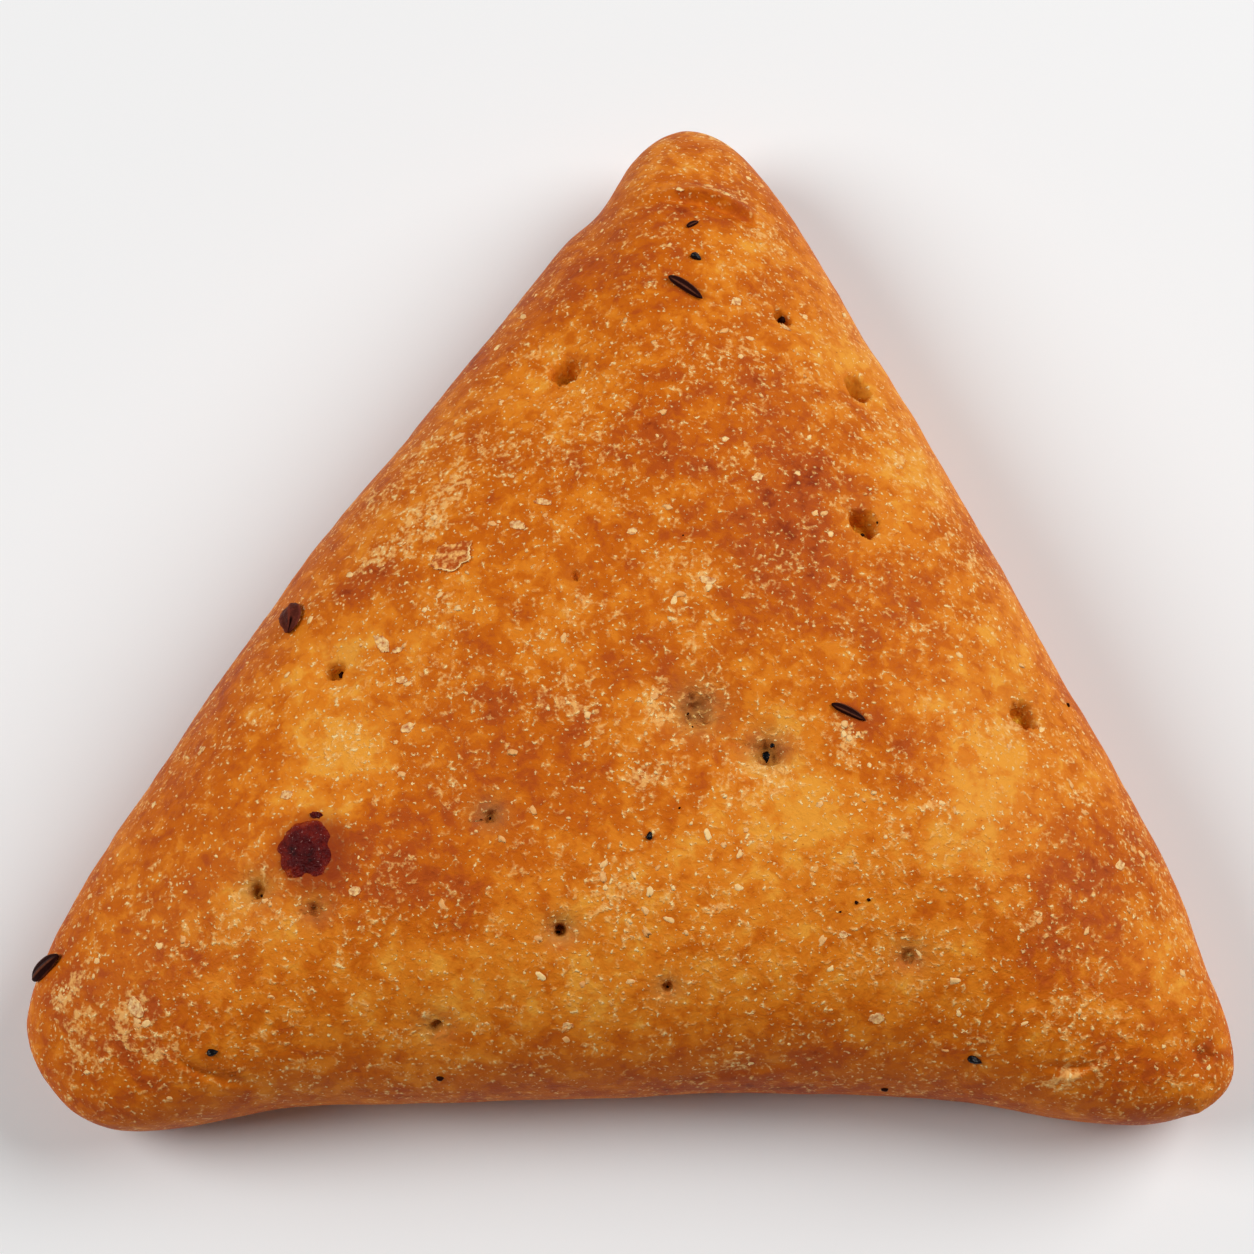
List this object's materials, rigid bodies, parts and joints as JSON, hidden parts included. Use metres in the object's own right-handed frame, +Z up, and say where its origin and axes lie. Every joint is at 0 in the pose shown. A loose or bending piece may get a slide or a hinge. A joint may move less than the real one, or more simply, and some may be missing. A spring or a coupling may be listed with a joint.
{
  "type": "fatayer",
  "caption": "Three-cornered baked pastry with a smooth brown pricked crust, seeds on it and a little dark red filling leaking through, flat underneath.",
  "frame": {"origin": "middle of the bounding box's underside, on the surface that the pastry lies on", "axes": "+X along the long front side, +Y towards the apex, +Z up"},
  "size_m": [0.1403, 0.1288, 0.0336],
  "materials": {
    "crust": "satin baked crust",
    "filling": "wet gloss"
  },
  "bodies": {
    "root": {"crust": "crust", "filling_leak": "filling"}
  },
  "joints": []
}
